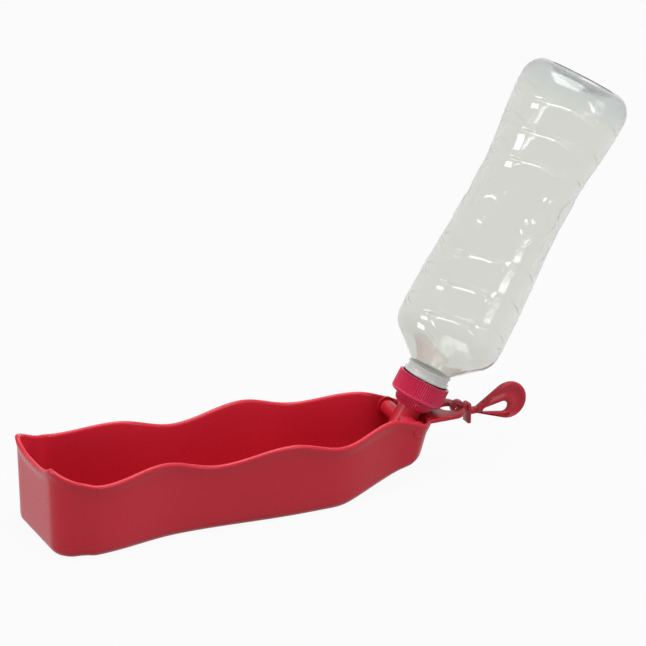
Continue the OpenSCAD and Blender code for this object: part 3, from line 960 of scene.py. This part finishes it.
def bar(size, centre, radius):
    bm = bmesh.new()
    bmesh.ops.create_cube(bm, size=1)
    bmesh.ops.scale(bm, vec=size, verts=bm.verts)
    bmesh.ops.translate(bm, vec=centre, verts=bm.verts)
    bmesh.ops.bevel(
        bm, geom=bm.edges[:], offset=radius, segments=3, profile=0.5, affect="EDGES", material=-1
    )
    return bm


for name, size, centre, radius in (
    ("strap_neck", (9.2, 3.6, 3.8), (10.4, 0, -3.9), 0.9),
    ("strap_root", (5.4, 4.6, 4.2), (5.4, 0, -0.6), 0.8),
    ("strap_keeper", (2.2, 7, 12), (6.4, 0, -4.4), 0.6),
):
    band = bar(size, centre, radius)
    finish_piece(name, band, "strap", strap_elastomer, place=strap_place)

# %% [markdown]
# Parts that keep their CAD shape
#
# The spout, the valve's plug, its ring and the cap's gasket could be modelled again with softer
# edges, but they hardly show, so their CAD solids stay and only take their finishes.

# %% Finish the CAD parts
for name, material in {
    "spout_body": red_polypropylene, "valve_plug": plug_acetal,
    "plug_seal": ring_rubber, "cap_gasket": gasket_silicone,
}.items():
    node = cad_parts[name]
    node.data.materials.clear()
    node.data.materials.append(material)
    print(name, "takes", material.name)

# %% [markdown]
# Floor
#
# The object stands on white paper. Paper that is lit white would need so much light that the
# object pales, so the paper is a mid grey that glows white, but only to the camera and in
# reflections and refractions. The small share that doesn't glow keeps the object's shadow.

# %% Floor
glow_share = 0.94


def seen_directly(tree):
    """1 for rays from the camera, off a gloss or through a clear wall, and 0 for all others."""
    path = add_node(tree, "ShaderNodeLightPath")
    seen = path.outputs["Is Camera Ray"]
    for ray in ("Is Glossy Ray", "Is Transmission Ray"):
        either = add_node(
            tree, "ShaderNodeMath", {"operation": "ADD", "use_clamp": True},
            _0=seen, _1=path.outputs[ray],
        )
        seen = either.outputs[0]
    return seen


floor_bm = bmesh.new()
bmesh.ops.create_grid(floor_bm, x_segments=1, y_segments=1, size=6)
floor_mesh = bpy.data.meshes.new("paper_floor")
floor_bm.to_mesh(floor_mesh)
floor_bm.free()
paper_floor = bpy.data.objects.new("paper_floor", floor_mesh)
bpy.context.scene.collection.objects.link(paper_floor)
paper, paper_tree, paper_shader = start_material("white_paper")
paper_shader.inputs["Base Color"].default_value = linear("#8F8F8E")
paper_shader.inputs["Roughness"].default_value = 0.9
share = add_node(
    paper_tree, "ShaderNodeMath", {"operation": "MULTIPLY"},
    _0=seen_directly(paper_tree), _1=glow_share,
)
glow = add_node(paper_tree, "ShaderNodeEmission", Color=(1, 1, 1, 1), Strength=1.0)
blend = add_node(
    paper_tree, "ShaderNodeMixShader", _0=share.outputs[0], _1=paper_shader.outputs[0],
    _2=glow.outputs[0],
)
paper_tree.links.new(blend.outputs[0], paper_tree.nodes["Material Output"].inputs["Surface"])
floor_mesh.materials.append(paper)
print(paper.name, "glows by", glow_share)

# %% [markdown]
# World
#
# The studio's walls give an even soft light from all round. A picture of a studio could light the
# object too, but plain white walls need none. Like the paper, they are white where the camera
# sees them, directly or in the object, and dimmer as a light.

# %% World
world_light = 0.37
world = bpy.data.worlds.new("studio")
bpy.context.scene.world = world
world.use_nodes = True
world_tree = world.node_tree
background = world_tree.nodes["Background"]
level_of_light = add_node(
    world_tree, "ShaderNodeMapRange", Value=seen_directly(world_tree),
    To_Min=world_light, To_Max=1.0,
)
background.inputs["Color"].default_value = (1, 1, 1, 1)
world_tree.links.new(level_of_light.outputs[0], background.inputs["Strength"])
bpy.context.scene.view_settings.view_transform = "Standard"
print(world.name, "lights by", world_light)

# %% [markdown]
# Soft boxes
#
# Two soft boxes, one to the left and a tall narrow one in front, draw the long highlights on the
# bottle. A large one overhead lights the trough's inside and throws the faint shadow. Point
# lamps could give as much light, but their highlights are small hard spots. Each box is aimed at
# the middle of the object. Sizes are in metres and powers in watts.

# %% Soft boxes
object_middle = Vector((0.08, 0, 0.09))
box_distance = 1.6


def soft_box(name, direction, size, power):
    light = bpy.data.lights.new(name, "AREA")
    light.shape = "RECTANGLE"
    light.size, light.size_y = size
    light.energy = power
    box = bpy.data.objects.new(name, light)
    bpy.context.scene.collection.objects.link(box)
    aim = Vector(direction).normalized()
    facing = aim.to_track_quat("Z", "Y").to_matrix().to_4x4()
    box.matrix_world = Matrix.Translation(object_middle + aim * box_distance) @ facing
    print(name, power, "W")


soft_box("left_soft_box", (-0.97, 0.11, 0.22), (0.5, 0.45), 7)
soft_box("front_soft_box", (0.33, -0.95, 0.14), (0.17, 0.9), 5)
soft_box("top_soft_box", (0.1, -0.1, 1.0), (1.4, 1.4), 38)

# %% [markdown]
# Count the meshes
#
# The last cell prints how many meshes the scene holds.

# %% Count the meshes
print("meshes in the scene:", len(bpy.data.meshes))
